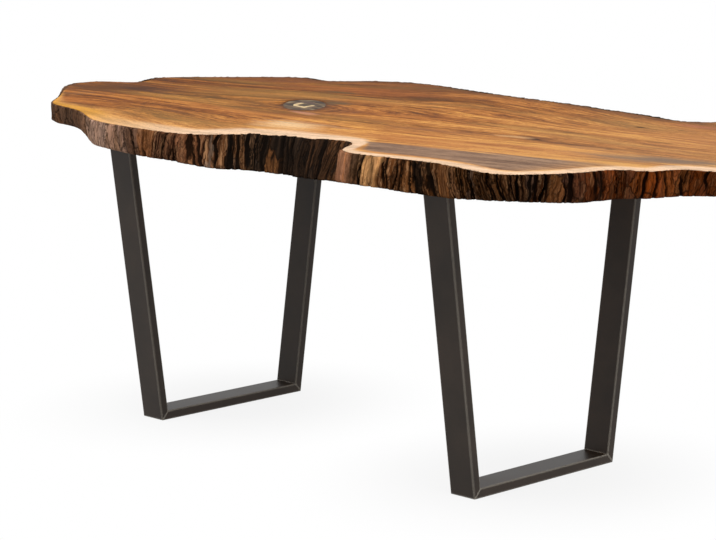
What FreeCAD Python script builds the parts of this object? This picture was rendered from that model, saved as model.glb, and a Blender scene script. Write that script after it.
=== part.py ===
"""Live edge dining table: one bark-edged slab on two splayed, powder-coated steel leg frames.

Millimetres, +Z up, +X along the table, floor at Z = 0, origin under the middle of the slab.
Each separate piece is one solid (or one group of equal fasteners) in its own STEP file.
"""
import FreeCAD
import Part
import math
import os

Vector = FreeCAD.Vector
UP = Vector(0, 0, 1)
ALONG = Vector(1, 0, 0)

# Overall sizes.
TABLE_HEIGHT = 760.0
SLAB_LENGTH = 2250.0        # top face, tip to tip
SLAB_WIDTH = 1165.0         # top face, widest place
SLAB_THICKNESS = 60.0

# Live edge. Bark is a ring of its own round the wood, split by upright fissures.
BARK_THICKNESS = 16.0
FISSURE_PITCH = 38.0        # mean run of edge per bark flake
FISSURE_DEPTH = 9.0         # deepest fissure
FISSURE_MOUTH = 0.34        # share of the pitch that a fissure's mouth takes
FLAKE_SWELL = 4.0           # how far a bark flake bulges at mid height
FLAKE_UNEVENNESS = 2.0      # how far neighbouring flakes stand in or out
BARK_LEVELS = (0.0, 0.5, 1.0)   # heights of the bark's facets, in shares of the thickness

# Dead knot in the top: a loose wooden heart, cast in with resin.
KNOT_ALONG = -332.0         # knot centre from the middle of the top face
KNOT_ACROSS = 3.0
KNOT_LENGTH = 225.0
KNOT_WIDTH = 100.0
KNOT_TURN = 135.0           # degrees from the table's length
KNOT_DEPTH = 28.0
HEART_LENGTH = 150.0
HEART_WIDTH = 52.0

# Leg frames, welded from flat tube.
LEG_SPACING = 1015.0        # frame to frame, centre to centre
LEG_PAIR_ALONG = -84.0      # middle of the pair from the middle of the slab
LEG_PAIR_ACROSS = -20.0
TUBE_WIDTH = 70.0           # along the table
TUBE_DEPTH = 22.0           # in the plane of the frame
TUBE_WALL = 2.0
TUBE_CORNER_RADIUS = 3.0
FOOT_LENGTH = 460.0         # outside, at the floor
SPLAY_DEGREES = 7.99        # each post from upright
FOOT_CORNER_RADIUS = 4.0    # dressed outer corner of the mitre

# Mounting plate on top of each frame.
PLATE_THICKNESS = 6.0
PLATE_SIDE_MARGIN = 20.0    # plate past the tube, each side
PLATE_END_MARGIN = 10.0     # plate past the posts, each end
PLATE_CORNER_RADIUS = 10.0
WELD_LEG = 4.0
WELD_TOE = 0.5

# Fasteners, M8 into threaded inserts. The slots let the wood move across its grain.
FASTENER_SIDES = 16         # flats that stand for a small round
BOLT_DIAMETER = 8.0
BOLT_HEAD_FLATS = 13.0
BOLT_HEAD_HEIGHT = 5.3
BOLT_EDGE = 18.0            # hole centre from the plate's long edge
BOLT_POST_GAP = 110.0       # bolt rows from the inside of the posts
THREAD_REACH = 16.0         # bolt inside its insert
SLOT_CLEARANCE = 1.0
SLOT_LENGTH = 20.0
WASHER_DIAMETER = 22.0
WASHER_THICKNESS = 1.6
WASHER_CLEARANCE = 0.4
INSERT_DIAMETER = 12.0
INSERT_LENGTH = 20.0
THREAD_CLEARANCE = 0.3      # on the diameter
PILOT_CLEARANCE = 0.2       # on the diameter

# The top face's outline, counter-clockwise from the left end of the near side.
# Each row: place along (-1 to 1), place across (-1 to 1), then how far the underside's edge
# stands off the top face's there, along and across, in slab thicknesses.
OUTLINE = (
    (-0.93, -0.26, -0.05, -0.05),
    (-0.865, -0.375, -0.12, -0.08),
    (-0.8, -0.485, -0.32, -0.12),
    (-0.745, -0.595, -0.99, 0.71),
    (-0.69, -0.685, -1.29, 1.22),
    (-0.625, -0.727, -1.67, 1.45),
    (-0.555, -0.77, -1.58, 1.36),
    (-0.46, -0.87, -0.47, 0.50),
    (-0.4, -0.933, -0.14, 0.20),
    (-0.34, -0.968, -0.20, 0.20),
    (-0.27, -0.985, 0.13, 0.01),
    (-0.17, -1, 0.00, -0.10),
    (-0.1, -0.99, 0.11, -0.27),
    (-0.05, -0.93, 1.15, -1.14),
    (-0.02, -0.84, 1.69, -1.65),
    (0.04, -0.77, 1.93, -1.99),
    (0.13, -0.737, 2.06, -2.38),
    (0.21, -0.715, 1.57, -2.49),
    (0.252, -0.79, 1.01, -1.73),
    (0.286, -0.893, 0.58, -0.72),
    (0.325, -0.93, 0.25, -0.40),
    (0.42, -0.93, 0.27, -0.45),
    (0.52, -0.92, 0.76, -0.61),
    (0.62, -0.96, 0.21, 0.09),
    (0.71, -0.97, -0.33, 0.77),
    (0.76, -0.86, -0.43, 0.26),
    (0.79, -0.72, 0.00, 0.00),
    (0.81, -0.61, -0.15, 0.13),
    (0.86, -0.57, -0.52, 0.47),
    (0.88, -0.46, -0.49, 0.50),
    (0.94, -0.42, -0.96, 0.88),
    (0.98, -0.25, -0.39, 0.10),
    (1, 0.01, 0.00, 0.00),
    (0.98, 0.29, 0.19, 0.06),
    (0.91, 0.53, 0.22, 0.21),
    (0.77, 0.72, 0.13, 0.27),
    (0.62, 0.79, 0.03, 0.30),
    (0.51, 0.77, -0.09, 0.29),
    (0.44, 0.68, -0.05, 0.30),
    (0.34, 0.72, 0.06, 0.29),
    (0.22, 0.77, 0.07, 0.29),
    (0.11, 0.82, 0.03, 0.20),
    (-0.13, 0.89, 0.03, 0.20),
    (-0.26, 0.94, 0.06, 0.29),
    (-0.4, 1, 0.03, 0.30),
    (-0.5, 0.99, -0.08, 0.29),
    (-0.58, 0.9, -0.11, 0.16),
    (-0.65, 0.79, -0.06, 0.19),
    (-0.71, 0.82, -0.03, 0.20),
    (-0.79, 0.75, -0.12, 0.16),
    (-0.88, 0.57, -0.15, 0.14),
    (-0.95, 0.42, -0.17, 0.11),
    (-0.97, 0.3, -0.20, -0.03),
    (-0.93, 0.13, -0.20, 0.03),
    (-0.99, 0.05, -0.17, 0.10),
    (-1, -0.09, -0.09, -0.05),
)

UNDERSIDE = TABLE_HEIGHT - SLAB_THICKNESS
PLATE_UNDERSIDE = UNDERSIDE - PLATE_THICKNESS
SPLAY = math.radians(SPLAY_DEGREES)


def save(shape, node):
    """Write one named piece."""
    shape.exportStep("parts/" + node + ".step")


# ---------------------------------------------------------------- slab

def edge_points(inset, under):
    """The outline's points on the top face, or on the underside, moved inwards by inset.

    Each moves square to the line between its neighbours.
    """
    edge = [Vector(along * SLAB_LENGTH / 2, across * SLAB_WIDTH / 2, 0) for along, across, _, _ in OUTLINE]
    if under:
        edge = [point + Vector(lean_along, lean_across, 0) * SLAB_THICKNESS
                for point, (_, _, lean_along, lean_across) in zip(edge, OUTLINE)]
    moved = []
    for i, point in enumerate(edge):
        run = edge[(i + 1) % len(edge)] - edge[i - 1]
        moved.append(point - Vector(run.y, -run.x, 0).normalize() * inset)
    return moved


def stations():
    """Running length of edge at each outline point, shared by every curve round the slab."""
    points = edge_points(0, False)
    runs = [0.0]
    for here, there in zip(points, points[1:] + points[:1]):
        runs.append(runs[-1] + here.distanceToPoint(there))
    return runs


def edge_curve(inset, under, z):
    """Smooth closed curve round the slab at height z."""
    points = [point + UP * z for point in edge_points(inset, under)]
    curve = Part.BSplineCurve()
    curve.interpolate(Points=points, PeriodicFlag=True, Parameters=stations())
    return curve


def wood_blank():
    """The slab's wood without its bark, before any pocket or hole."""
    low = edge_curve(BARK_THICKNESS, True, UNDERSIDE)
    high = edge_curve(BARK_THICKNESS, False, TABLE_HEIGHT)
    return Part.makeLoft([Part.Wire(low.toShape()), Part.Wire(high.toShape())], True, True)


def fissure_plan():
    """Fissures and flake shoulders in order round the edge: (running length, set-in share, flake number)."""
    edge_length = stations()[-1]
    count = round(edge_length / FISSURE_PITCH)
    pitch = edge_length / count
    half_mouth = FISSURE_MOUTH * pitch / 2
    plan = []
    for i in range(count):
        middle = (i + 0.25 + 0.22 * math.sin(1.7 * i) + 0.16 * math.sin(4.1 * i + 1.0)) * pitch
        depth = 0.62 + 0.38 * math.sin(2.9 * i + 0.5)
        plan.append(((middle - half_mouth) % edge_length, 0.0, i - 1))
        plan.append((middle % edge_length, depth, i))
        plan.append(((middle + half_mouth) % edge_length, 0.0, i))
    return sorted(plan)


def bark_corners(height_share):
    """Corners of the bark's outside, in order, at a share of the slab's thickness, 0 underneath."""
    low = edge_curve(0, True, UNDERSIDE)
    high = edge_curve(0, False, TABLE_HEIGHT)
    swell = FLAKE_SWELL * math.sin(math.pi * height_share)
    corners = []
    for run, depth, flake in fissure_plan():
        point = low.value(run) * (1 - height_share) + high.value(run) * height_share
        tangent = low.tangent(run)[0] * (1 - height_share) + high.tangent(run)[0] * height_share
        outward = Vector(tangent.y, -tangent.x, 0).normalize()
        stand = FLAKE_UNEVENNESS * math.sin(2.3 * flake + 4.0 * height_share)
        corners.append(point + outward * (swell + stand - FLAKE_UNEVENNESS - depth * FISSURE_DEPTH))
    return corners


def closed_polygon(corners):
    """Closed wire of straight edges."""
    return Part.makePolygon(corners + corners[:1])


def bark_ring(wood):
    """Bark round the wood: facets outside, the wood's own side face inside, a flat rim above and below."""
    levels = [bark_corners(share) for share in BARK_LEVELS]
    faces = []
    for low, high in zip(levels, levels[1:]):
        low_next, high_next = low[1:] + low[:1], high[1:] + high[:1]
        for a, b, c, d in zip(low, low_next, high_next, high):
            faces += [Part.Face(closed_polygon([a, b, c])), Part.Face(closed_polygon([a, c, d]))]
    flats = sorted((f for f in wood.Faces if f.Surface.TypeId == "Part::GeomPlane"),
                   key=lambda f: f.CenterOfMass.z)
    faces += [f for f in wood.Faces if f.Surface.TypeId != "Part::GeomPlane"]
    for corners, flat in ((levels[0], flats[0]), (levels[-1], flats[-1])):
        faces.append(Part.makeFace([closed_polygon(corners), flat.OuterWire], "Part::FaceMakerBullseye"))
    shell = Part.makeShell(faces)
    shell.sewShape()
    return Part.makeSolid(shell.Shells[0])


def knot_disc(length, width, depth):
    """Elliptical plug let into the top face, its long axis turned from the table's length."""
    ellipse = Part.Ellipse(Vector(0, 0, 0), length / 2, width / 2)
    plug = Part.Face(Part.Wire(ellipse.toShape())).extrude(UP * -depth)
    plug.rotate(Vector(0, 0, 0), UP, KNOT_TURN)
    plug.translate(Vector(KNOT_ALONG, KNOT_ACROSS, TABLE_HEIGHT))
    return plug


def make_slab():
    """Wood, bark ring, knot resin and knot heart, with the slab's box centred over the origin."""
    wood = wood_blank()
    bark = bark_ring(wood)
    socket = knot_disc(KNOT_LENGTH, KNOT_WIDTH, KNOT_DEPTH)
    heart = knot_disc(HEART_LENGTH, HEART_WIDTH, KNOT_DEPTH)
    resin = socket.cut(heart)
    wood = wood.cut(socket)
    box = Part.makeCompound(bark.Vertexes).BoundBox
    centring = Vector(-box.Center.x, -box.Center.y, 0)
    for piece in (wood, bark, resin, heart):
        piece.translate(centring)
    pilots = [
        upright_rod(spot, (INSERT_DIAMETER + PILOT_CLEARANCE) / 2, UNDERSIDE - INSERT_LENGTH,
                    UNDERSIDE + INSERT_LENGTH)
        for spot in bolt_spots()
    ]
    return wood.cut(Part.makeCompound(pilots)), bark, resin, heart


# ---------------------------------------------------------------- leg frames

def frame_centres():
    """Ground point under the middle of each leg frame, left then right."""
    return [
        Vector(LEG_PAIR_ALONG + side * LEG_SPACING / 2, LEG_PAIR_ACROSS, 0)
        for side in (-1, 1)
    ]


def post_outside(z):
    """Distance from the frame's middle to the outer face of a post at height z."""
    return FOOT_LENGTH / 2 + z * math.tan(SPLAY)


def post_inside(z):
    """Distance from the frame's middle to the inner face of a post at height z."""
    return post_outside(z) - TUBE_DEPTH / math.cos(SPLAY)


def rounded_rectangle(width, depth, radius):
    """Rounded rectangle about the origin, width along X and depth along Y."""
    block = Part.makePlane(width, depth, Vector(-width / 2, -depth / 2, 0))
    prism = block.extrude(UP)
    if radius > 0:
        upright = [edge for edge in prism.Edges if edge.BoundBox.ZLength > 0.5]
        prism = prism.makeFillet(radius, upright)
    return [f for f in prism.Faces if f.CenterOfMass.z < 0.01][0].OuterWire


def tube(length, hollow=True):
    """Straight flat tube along +Z from the origin."""
    outer = Part.Face(rounded_rectangle(TUBE_WIDTH, TUBE_DEPTH, TUBE_CORNER_RADIUS)).extrude(UP * length)
    if not hollow:
        return outer
    bore_radius = max(TUBE_CORNER_RADIUS - TUBE_WALL, 0.0)
    bore = rounded_rectangle(TUBE_WIDTH - 2 * TUBE_WALL, TUBE_DEPTH - 2 * TUBE_WALL, bore_radius)
    return outer.cut(Part.Face(bore).extrude(UP * length))


def slice_between(corners):
    """Prism across the tube's full width over a polygon of (across, height) corners."""
    reach = TUBE_WIDTH
    loop = [Vector(-reach, across, z) for across, z in corners]
    return Part.Face(closed_polygon(loop)).extrude(ALONG * (2 * reach))


def mitre_ends():
    """The mitre line at the far foot corner, run on past both of its ends."""
    outer = (post_outside(0), 0.0)
    inner = (post_inside(TUBE_DEPTH), TUBE_DEPTH)
    step = (inner[0] - outer[0], inner[1] - outer[1])
    return (outer[0] - step[0], outer[1] - step[1]), (inner[0] + step[0], inner[1] + step[1])


def leaning_tube(hollow=True):
    """Far post's tube in place, running past the floor and the plate."""
    over_run = 2 * TUBE_DEPTH
    length = PLATE_UNDERSIDE / math.cos(SPLAY) + 2 * over_run
    stock = tube(length, hollow)
    stock.translate(Vector(0, -TUBE_DEPTH / 2, -over_run))
    stock.rotate(Vector(0, 0, 0), ALONG, -SPLAY_DEGREES)
    stock.translate(Vector(0, FOOT_LENGTH / 2, 0))
    return stock


def foot_corner_waste():
    """What is dressed off the outer corner where a post meets the foot bar."""
    radius = FOOT_CORNER_RADIUS
    corner = Vector(0, post_outside(0), 0)
    up_post = Vector(0, math.sin(SPLAY), math.cos(SPLAY))
    along_floor = Vector(0, -1, 0)
    half_angle = (math.pi / 2 + SPLAY) / 2
    run = radius / math.tan(half_angle)
    on_post = corner + up_post * run
    on_floor = corner + along_floor * run
    to_centre = (up_post + along_floor).normalize()
    centre = corner + to_centre * (radius / math.sin(half_angle))
    middle = centre - to_centre * radius
    beyond = corner - to_centre
    loop = Part.Wire([
        Part.Arc(on_post, middle, on_floor).toShape(),
        Part.makeLine(on_floor, beyond),
        Part.makeLine(beyond, on_post),
    ])
    waste = Part.Face(loop).extrude(ALONG * (2 * TUBE_WIDTH))
    waste.translate(ALONG * -TUBE_WIDTH)
    return waste


def mirrored(shape):
    """The same shape on the other side of the frame's middle."""
    return shape.mirror(Vector(0, 0, 0), Vector(0, 1, 0))


def far_post():
    """Far post, mitred onto the foot bar and square under the plate."""
    low, high = mitre_ends()
    keep = slice_between([
        low,
        high,
        (post_inside(PLATE_UNDERSIDE) - TUBE_DEPTH, PLATE_UNDERSIDE),
        (post_outside(PLATE_UNDERSIDE) + TUBE_DEPTH, PLATE_UNDERSIDE),
    ])
    return leaning_tube().common(keep).cut(foot_corner_waste())


def foot_bar():
    """Bar along the floor, mitred at both ends."""
    low, high = mitre_ends()
    keep = slice_between([low, high, (-high[0], high[1]), (-low[0], low[1])])
    stock = tube(FOOT_LENGTH)
    stock.translate(UP * (-FOOT_LENGTH / 2))
    stock.rotate(Vector(0, 0, 0), ALONG, 90)
    stock.translate(UP * (TUBE_DEPTH / 2))
    waste = foot_corner_waste()
    return stock.common(keep).cut(Part.makeCompound([waste, mirrored(waste)]))


def far_weld():
    """Fillet weld all round the far post under the plate."""
    def collar(z, spread):
        half_width = TUBE_WIDTH / 2 + spread
        far = post_outside(z) + spread
        near = post_inside(z) - spread
        cut = TUBE_CORNER_RADIUS
        return closed_polygon([
            Vector(half_width, near + cut, z),
            Vector(half_width, far - cut, z),
            Vector(half_width - cut, far, z),
            Vector(cut - half_width, far, z),
            Vector(-half_width, far - cut, z),
            Vector(-half_width, near + cut, z),
            Vector(cut - half_width, near, z),
            Vector(half_width - cut, near, z),
        ])
    low = collar(PLATE_UNDERSIDE - WELD_LEG, WELD_TOE)
    high = collar(PLATE_UNDERSIDE, WELD_LEG)
    bead = Part.makeLoft([low, high], True, True)
    return bead.cut(leaning_tube(hollow=False))


# ---------------------------------------------------------------- plate and fasteners

def frame_bolt_offsets():
    """Bolt places on one plate, from the frame's middle: two near each post."""
    column = TUBE_WIDTH / 2 + PLATE_SIDE_MARGIN - BOLT_EDGE
    row = post_inside(PLATE_UNDERSIDE) - BOLT_POST_GAP
    return [Vector(x, y, 0) for y in (-row, row) for x in (-column, column)]


def bolt_spots():
    """All bolt places under the slab."""
    return [centre + offset for centre in frame_centres() for offset in frame_bolt_offsets()]


def upright_rod(spot, radius, low, high, sides=FASTENER_SIDES):
    """Upright many-sided rod at a spot, from low to high, its corners at the radius."""
    turn = 2 * math.pi / sides
    corners = [
        Vector(spot.x + radius * math.cos(k * turn), spot.y + radius * math.sin(k * turn), low)
        for k in range(sides)
    ]
    return Part.Face(closed_polygon(corners)).extrude(UP * (high - low))


def slot_cutter(spot):
    """Round-ended slot through the plate, its length across the table."""
    radius = (BOLT_DIAMETER + SLOT_CLEARANCE) / 2
    reach = SLOT_LENGTH / 2 - radius
    sides = []
    for way in (1, -1):
        start = Vector(way * radius, way * reach, 0)
        crown = Vector(0, way * (reach + radius), 0)
        end = Vector(-way * radius, way * reach, 0)
        sides.append(Part.Arc(start, crown, end).toShape())
        sides.append(Part.makeLine(end, Vector(-way * radius, -way * reach, 0)))
    cutter = Part.Face(Part.Wire(sides)).extrude(UP * (3 * PLATE_THICKNESS))
    cutter.translate(Vector(spot.x, spot.y, PLATE_UNDERSIDE - PLATE_THICKNESS))
    return cutter


def mounting_plate():
    """Slotted plate on top of one frame."""
    width = TUBE_WIDTH + 2 * PLATE_SIDE_MARGIN
    length = 2 * (post_outside(PLATE_UNDERSIDE) + PLATE_END_MARGIN)
    plate = Part.Face(rounded_rectangle(width, length, PLATE_CORNER_RADIUS)).extrude(UP * PLATE_THICKNESS)
    plate.translate(UP * PLATE_UNDERSIDE)
    return plate.cut(Part.makeCompound([slot_cutter(spot) for spot in frame_bolt_offsets()]))


def bolt(spot):
    """Hexagon bolt, head down, up through washer and plate into its insert."""
    seat = PLATE_UNDERSIDE - WASHER_THICKNESS
    head = upright_rod(spot, BOLT_HEAD_FLATS / math.sqrt(3), seat - BOLT_HEAD_HEIGHT, seat, sides=6)
    return head.fuse(upright_rod(spot, BOLT_DIAMETER / 2, seat, UNDERSIDE + THREAD_REACH))


def washer(spot):
    """Flat washer that spans its slot."""
    low = PLATE_UNDERSIDE - WASHER_THICKNESS
    disc = upright_rod(spot, WASHER_DIAMETER / 2, low, PLATE_UNDERSIDE)
    hole_radius = (BOLT_DIAMETER + WASHER_CLEARANCE) / 2
    return disc.cut(upright_rod(spot, hole_radius, low, PLATE_UNDERSIDE))


def insert(spot):
    """Threaded sleeve screwed into the wood, flush with the underside."""
    sleeve = upright_rod(spot, INSERT_DIAMETER / 2, UNDERSIDE, UNDERSIDE + INSERT_LENGTH)
    hole_radius = (BOLT_DIAMETER + THREAD_CLEARANCE) / 2
    return sleeve.cut(upright_rod(spot, hole_radius, UNDERSIDE, UNDERSIDE + INSERT_LENGTH))


# ---------------------------------------------------------------- the whole table

os.makedirs("parts", exist_ok=True)

slab_wood, slab_bark, knot_resin, knot_heart = make_slab()
save(slab_wood, "tabletop_slab")
save(slab_bark, "bark_edge")
save(knot_resin, "knot_resin")
save(knot_heart, "knot_heart")

frame_pieces = {
    "near_post": mirrored(far_post()),
    "far_post": far_post(),
    "foot_bar": foot_bar(),
    "mounting_plate": mounting_plate(),
    "plate_welds": Part.makeCompound([far_weld(), mirrored(far_weld())]),
}
for side, ground_point in zip(("left", "right"), frame_centres()):
    for name, shape in frame_pieces.items():
        placed = shape.copy()
        placed.translate(ground_point)
        save(placed, side + "_" + name)

for name, make in (("plate_bolts", bolt), ("plate_washers", washer), ("threaded_inserts", insert)):
    save(Part.makeCompound([make(spot) for spot in bolt_spots()]), name)
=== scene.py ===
"""Looks of the live edge dining table: sanded slab, fissured bark, cast knot and powder-coated legs.

Metres, +Z up, +X along the table. The leg frames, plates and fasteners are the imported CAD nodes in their
own finishes. The slab's wood and its bark are worked out here on grids that run round the table's edge.
"""
import bpy
import math
import numpy as np
from mathutils import Matrix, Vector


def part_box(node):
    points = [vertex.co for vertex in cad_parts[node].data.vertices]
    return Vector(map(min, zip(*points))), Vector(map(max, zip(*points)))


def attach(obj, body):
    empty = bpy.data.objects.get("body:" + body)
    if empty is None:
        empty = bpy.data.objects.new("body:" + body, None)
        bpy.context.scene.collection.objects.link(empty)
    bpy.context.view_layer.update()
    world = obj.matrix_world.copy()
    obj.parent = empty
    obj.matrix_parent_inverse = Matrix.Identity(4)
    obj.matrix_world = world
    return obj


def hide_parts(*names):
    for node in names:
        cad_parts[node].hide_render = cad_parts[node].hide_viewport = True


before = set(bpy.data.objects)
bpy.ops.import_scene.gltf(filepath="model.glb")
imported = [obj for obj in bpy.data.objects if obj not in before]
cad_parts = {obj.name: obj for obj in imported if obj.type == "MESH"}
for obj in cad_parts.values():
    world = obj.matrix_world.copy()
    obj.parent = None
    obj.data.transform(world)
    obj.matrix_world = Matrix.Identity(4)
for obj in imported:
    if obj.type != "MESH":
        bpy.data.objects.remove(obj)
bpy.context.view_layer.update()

TABLE_HEIGHT = 0.760
SLAB_LENGTH = 2.250                 # top face, tip to tip
SLAB_WIDTH = 1.165                  # top face, widest place
SLAB_THICKNESS = 0.060
UNDERSIDE = TABLE_HEIGHT - SLAB_THICKNESS
BARK_THICKNESS = 0.016
KNOT_HALF_LENGTH = 0.1125
KNOT_HALF_WIDTH = 0.050
KNOT_TURN = 135.0                   # degrees from the table's length
KNOT_DEPTH = 0.028

COLUMNS = 3200                      # steps round the table's edge, about 1.8 mm each
WALL_HEIGHTS = (0.0, 0.5, 0.80, 0.90, 0.96)     # rows of the wall between wood and bark, in thicknesses
WOOD_GAP = 0.0002                   # between the wood's wall and the bark's
BOX_MARGIN = 0.0003                 # kept inside the bark's own box

# The top face's outline, counter-clockwise from the left end of the near side: place along and
# across in half lengths and half widths, then the shift of the underside's edge in slab thicknesses.
OUTLINE = np.array([
    (-0.93, -0.26, -0.05, -0.05), (-0.865, -0.375, -0.12, -0.08), (-0.8, -0.485, -0.32, -0.12),
    (-0.745, -0.595, -0.99, 0.71), (-0.69, -0.685, -1.29, 1.22), (-0.625, -0.727, -1.67, 1.45),
    (-0.555, -0.77, -1.58, 1.36), (-0.46, -0.87, -0.47, 0.50), (-0.4, -0.933, -0.14, 0.20),
    (-0.34, -0.968, -0.20, 0.20), (-0.27, -0.985, 0.13, 0.01), (-0.17, -1, 0.00, -0.10),
    (-0.1, -0.99, 0.11, -0.27), (-0.05, -0.93, 1.15, -1.14), (-0.02, -0.84, 1.69, -1.65),
    (0.04, -0.77, 1.93, -1.99), (0.13, -0.737, 2.06, -2.38), (0.21, -0.715, 1.57, -2.49),
    (0.252, -0.79, 1.01, -1.73), (0.286, -0.893, 0.58, -0.72), (0.325, -0.93, 0.25, -0.40),
    (0.42, -0.93, 0.27, -0.45), (0.52, -0.92, 0.76, -0.61), (0.62, -0.96, 0.21, 0.09),
    (0.71, -0.97, -0.33, 0.77), (0.76, -0.86, -0.43, 0.26), (0.79, -0.72, 0.00, 0.00),
    (0.81, -0.61, -0.15, 0.13), (0.86, -0.57, -0.52, 0.47), (0.88, -0.46, -0.49, 0.50),
    (0.94, -0.42, -0.96, 0.88), (0.98, -0.25, -0.39, 0.10), (1, 0.01, 0.00, 0.00), (0.98, 0.29, 0.19, 0.06),
    (0.91, 0.53, 0.22, 0.21), (0.77, 0.72, 0.13, 0.27), (0.62, 0.79, 0.03, 0.30), (0.51, 0.77, -0.09, 0.29),
    (0.44, 0.68, -0.05, 0.30), (0.34, 0.72, 0.06, 0.29), (0.22, 0.77, 0.07, 0.29), (0.11, 0.82, 0.03, 0.20),
    (-0.13, 0.89, 0.03, 0.20), (-0.26, 0.94, 0.06, 0.29), (-0.4, 1, 0.03, 0.30), (-0.5, 0.99, -0.08, 0.29),
    (-0.58, 0.9, -0.11, 0.16), (-0.65, 0.79, -0.06, 0.19), (-0.71, 0.82, -0.03, 0.20),
    (-0.79, 0.75, -0.12, 0.16), (-0.88, 0.57, -0.15, 0.14), (-0.95, 0.42, -0.17, 0.11),
    (-0.97, 0.3, -0.20, -0.03), (-0.93, 0.13, -0.20, 0.03), (-0.99, 0.05, -0.17, 0.10),
    (-1, -0.09, -0.09, -0.05),
])


# ---------------------------------------------------------------- curves round the slab, as x + iy

def middle_of(box):
    """Middle of a box, from its two corners."""
    low, high = np.array(box)
    return (low + high) / 2


def outward(loop):
    """Unit normal of a counter-clockwise loop: the step between the neighbours, a quarter turn clockwise."""
    run = np.roll(loop, -1) - np.roll(loop, 1)
    return -1j * run / np.abs(run)


def smooth_loop(points, runs, samples):
    """Periodic cubic spline through the points at their running lengths.

    The second slopes m solve h0 m0 + 2 (h0 + h1) m1 + h1 m2 = 6 (step1 / h1 - step0 / h0) round the loop.
    """
    h = np.diff(runs)
    back = np.roll(h, 1)
    steps = (np.roll(points, -1) - points) / h
    eye = np.eye(len(points))
    system = (eye * (2 * (h + back))[:, None] + np.roll(eye, 1, axis=1) * h[:, None]
              + np.roll(eye, -1, axis=1) * back[:, None])
    m = np.linalg.solve(system, 6 * (steps - np.roll(steps, 1)))
    i = np.clip(np.searchsorted(runs, samples, side="right") - 1, 0, len(points) - 1)
    j = (i + 1) % len(points)
    a = runs[i + 1] - samples
    b = samples - runs[i]
    return ((m[i] * a ** 3 + m[j] * b ** 3) / (6 * h[i])
            + (points[i] / h[i] - m[i] * h[i] / 6) * a + (points[j] / h[i] - m[j] * h[i] / 6) * b)


def edge_loops():
    """Top and underside edges of the bark, as smooth loops, and the length of the top one's polygon.

    The underside's points are the top's, each moved by its own lean in slab thicknesses. The wood's edges
    lie one bark thickness inside, and everything moves so that the wood's box is centred on its node's.
    """
    top = OUTLINE[:, 0] * SLAB_LENGTH / 2 + 1j * OUTLINE[:, 1] * SLAB_WIDTH / 2
    under = top + (OUTLINE[:, 2] + 1j * OUTLINE[:, 3]) * SLAB_THICKNESS
    runs = np.concatenate([[0.0], np.cumsum(np.abs(np.roll(top, -1) - top))])
    samples = np.arange(COLUMNS) / COLUMNS * runs[-1]
    top_edge, under_edge = [smooth_loop(points, runs, samples) for points in (top, under)]
    wood = np.concatenate([smooth_loop(points - outward(points) * BARK_THICKNESS, runs, samples)
                           for points in (top, under)])
    middle = middle_of(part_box("tabletop_slab"))
    shift = complex(middle[0] - (wood.real.min() + wood.real.max()) / 2,
                    middle[1] - (wood.imag.min() + wood.imag.max()) / 2)
    return top_edge + shift, under_edge + shift, runs[-1]


TOP_EDGE, UNDER_EDGE, EDGE_LENGTH = edge_loops()
KNOT = complex(*middle_of(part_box("knot_resin"))[:2])
SHARE = np.arange(COLUMNS) / COLUMNS            # share of the way round


# ---------------------------------------------------------------- bark relief

def lattice_noise(around, height, cells, rows, seed):
    """Smooth noise from -1 to 1 on a lattice of random numbers that closes round the table.

    Between lattice points it is eased by f * f * (3 - 2 * f) of the share f of the way across a cell.
    """
    grid = np.random.default_rng(seed).uniform(-1, 1, (cells, rows + 2))
    x = around * cells
    y = np.clip(height, 0, 1) * rows
    i = np.floor(x).astype(int)
    j = np.floor(y).astype(int)
    fx = x - i
    fy = y - j
    fx = fx * fx * (3 - 2 * fx)
    fy = fy * fy * (3 - 2 * fy)
    i0 = i % cells
    i1 = (i + 1) % cells
    return ((grid[i0, j] * (1 - fx) + grid[i1, j] * fx) * (1 - fy)
            + (grid[i0, j + 1] * (1 - fx) + grid[i1, j + 1] * fx) * fy)


def cracks(around, height, count, mouth, seed):
    """Upright cracks, count of them round the table: how deep, 0 to 1, and which flake a point is on.

    Each stands off its even place by its own amount, leans and bends a little, and has steep sides and a
    flat floor; its depth is its own, and it thins towards one of its ends.
    """
    rng = np.random.default_rng(seed)
    place = 0.5 + rng.uniform(-0.38, 0.38, count)
    lean = rng.uniform(-0.16, 0.16, count)
    width = mouth * rng.uniform(0.4, 1.5, count) ** 1.5
    depth = rng.uniform(0.25, 1.0, count)
    thins = rng.uniform(-1.1, 1.1, count)
    x = around * count
    home = np.floor(x).astype(int)
    deepest = np.zeros_like(x)
    flake = home - 1
    for step in (-1, 0, 1):
        cell = (home + step) % count
        centre = (home + step + place[cell] + lean[cell] * (2 * height - 1)
                  + 0.05 * np.sin(9.0 * height + 2.0 * cell))
        side = np.clip((1 - np.abs(x - centre) / width[cell]) / 0.5, 0, 1)
        fade = np.clip(1.0 + thins[cell] * (2 * height - 1), 0, 1)
        deepest = np.maximum(deepest, depth[cell] * fade * side * side * (3 - 2 * side))
        flake = np.where(x > centre, home + step, flake)
    return deepest, flake % count


# Three sizes of crack, 26, 12 and 5 mm apart: how many round the table, mouth as a share of their
# spacing, depth in metres.
CRACKS = ((225, 0.13, 0.0125), (491, 0.17, 0.0055), (1093, 0.34, 0.0016))
PLATE_STAND = 0.0052                # from the flattest to the proudest flake between the widest cracks
STRIP_STAND = 0.0026                # the same between the middling cracks
BREAK_STEP = 0.0030                 # in or out, where a flake is broken across
SWELL = 0.0030                      # bulge at mid height
TUCK = 0.0030                       # drawn in at the foot
CHIP = 0.0060                       # deepest chip out of the lip
FURTHEST_IN = -0.0138               # limits of the bark's face, from its smooth edge
FURTHEST_OUT = 0.0042
BARK_COVER = 0.0012                 # least bark in front of the wood

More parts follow.
